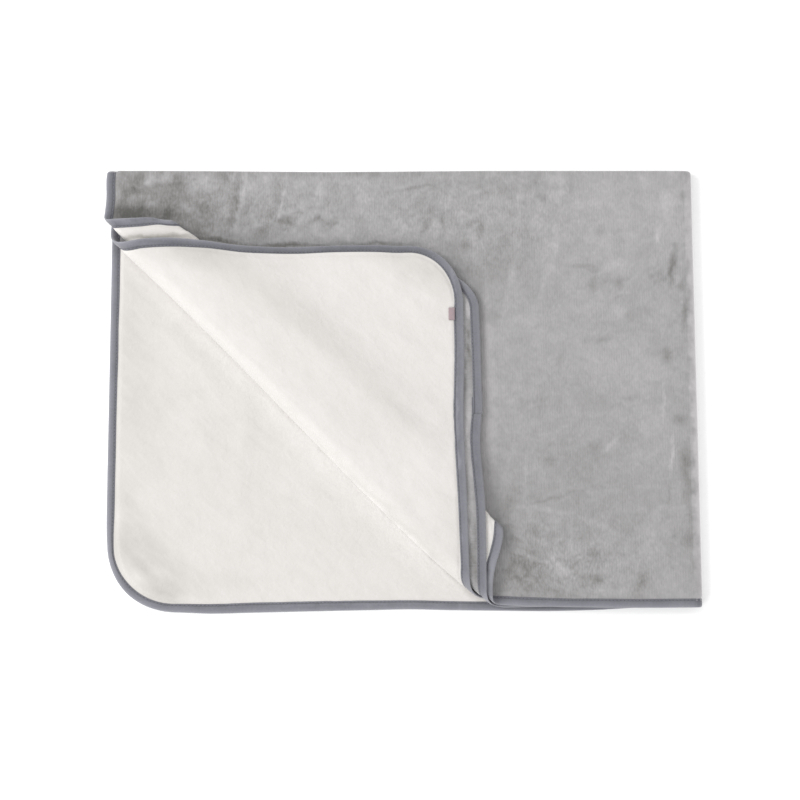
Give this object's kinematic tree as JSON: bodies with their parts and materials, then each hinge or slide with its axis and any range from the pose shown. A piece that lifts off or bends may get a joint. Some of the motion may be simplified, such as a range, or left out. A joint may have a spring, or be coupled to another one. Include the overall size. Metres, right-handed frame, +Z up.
{
  "type": "folded sherpa blanket",
  "caption": "Baby blanket of grey velour backed with off-white fleece, bound all round, folded in quarters with one corner of the upper layers turned back.",
  "frame": {"origin": "on the surface that the blanket lies on, under the middle of its folded outline", "axes": "+X along the long side, towards the fold that wraps all the layers; +Y towards the fold along the far long side; +Z up"},
  "size_m": [0.5114, 0.3788, 0.0313],
  "materials": {
    "velour": "short brushed grey plush pile",
    "sherpa": "soft off-white fleece pile",
    "tape": "fine ribbed grey-blue woven tape",
    "label": "smooth pink-grey ribbon"
  },
  "bodies": {
    "root": {"velour_panel": "velour", "sherpa_panel": "sherpa", "edge_tape": "tape", "side_label": "label"}
  },
  "joints": []
}
